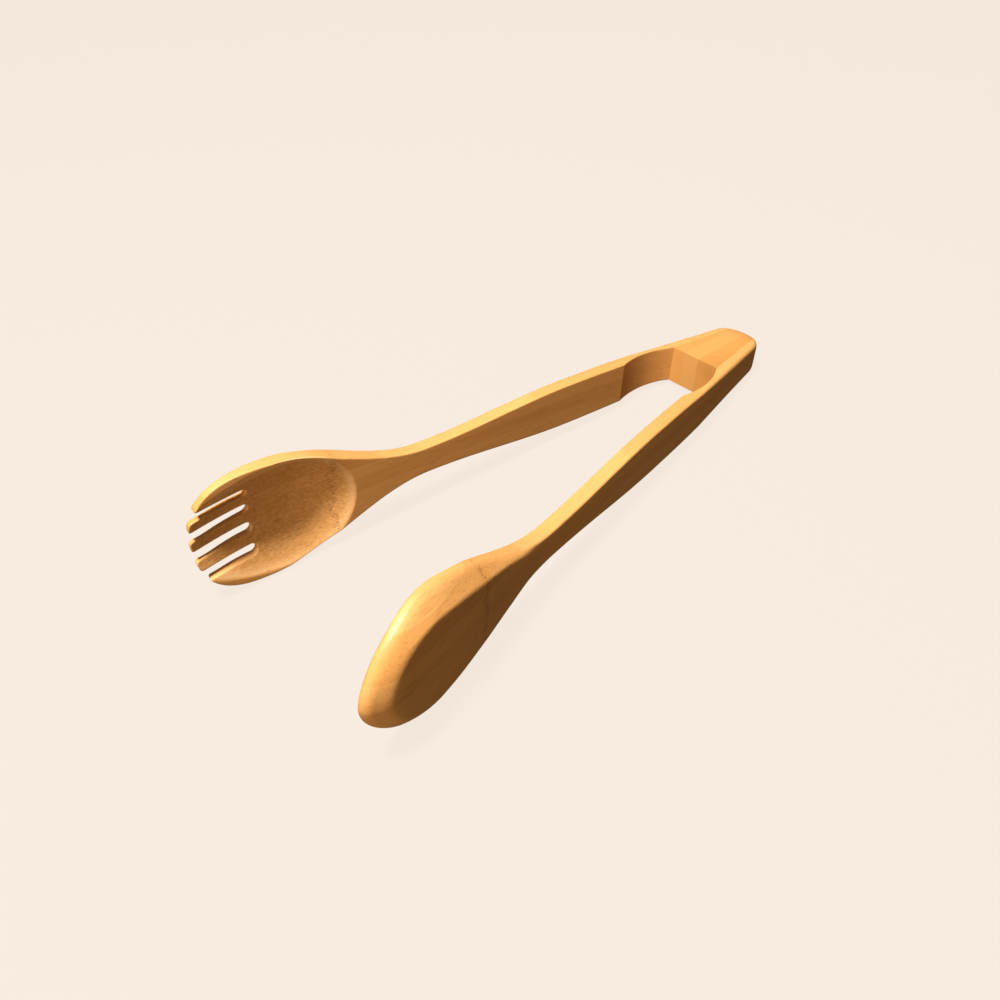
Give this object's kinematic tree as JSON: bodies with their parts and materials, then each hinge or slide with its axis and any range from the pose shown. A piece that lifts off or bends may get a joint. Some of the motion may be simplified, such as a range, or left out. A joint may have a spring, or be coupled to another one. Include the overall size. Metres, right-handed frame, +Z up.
{
  "type": "salad tongs",
  "caption": "Sprung wooden salad tongs: a fork arm and a spoon arm glued to a wedge in the head, each thinned to a springy neck.",
  "frame": {"origin": "on the surface the tongs lie on, under the middle of their length, on the plane of symmetry between the arms", "axes": "+X from the head to the tips, +Y towards the spoon arm, +Z up"},
  "size_m": [0.2994, 0.1164, 0.058],
  "materials": {
    "spacer_outer_strip": "satin oiled bamboo, warm orange strip",
    "spacer_middle_strip": "satin oiled bamboo, paler strip",
    "fork_stave": "satin oiled bamboo",
    "spoon_stave": "satin oiled bamboo"
  },
  "bodies": {
    "head": {"spacer_strip_fork_side": "spacer_outer_strip", "spacer_strip_middle": "spacer_middle_strip", "spacer_strip_spoon_side": "spacer_outer_strip", "fork_stave_butt": "fork_stave", "spoon_stave_butt": "spoon_stave"},
    "fork_arm": {"fork_arm": "fork_stave"},
    "spoon_arm": {"spoon_arm": "spoon_stave"}
  },
  "joints": [
    {"name": "fork_neck_bend", "type": "hinge", "parent": "head", "child": "fork_arm", "pos_m": [-0.0892, -0.02075, 0.01312], "axis": [-0.0781, 0, 0.9969], "range_deg": [-2, 11.9], "stiffness_Nm_per_rad": 6},
    {"name": "spoon_neck_bend", "type": "hinge", "parent": "head", "child": "spoon_arm", "pos_m": [-0.0892, 0.02075, 0.01312], "axis": [0.0781, 0, -0.9969], "range_deg": [-2, 11.9], "stiffness_Nm_per_rad": 6}
  ]
}
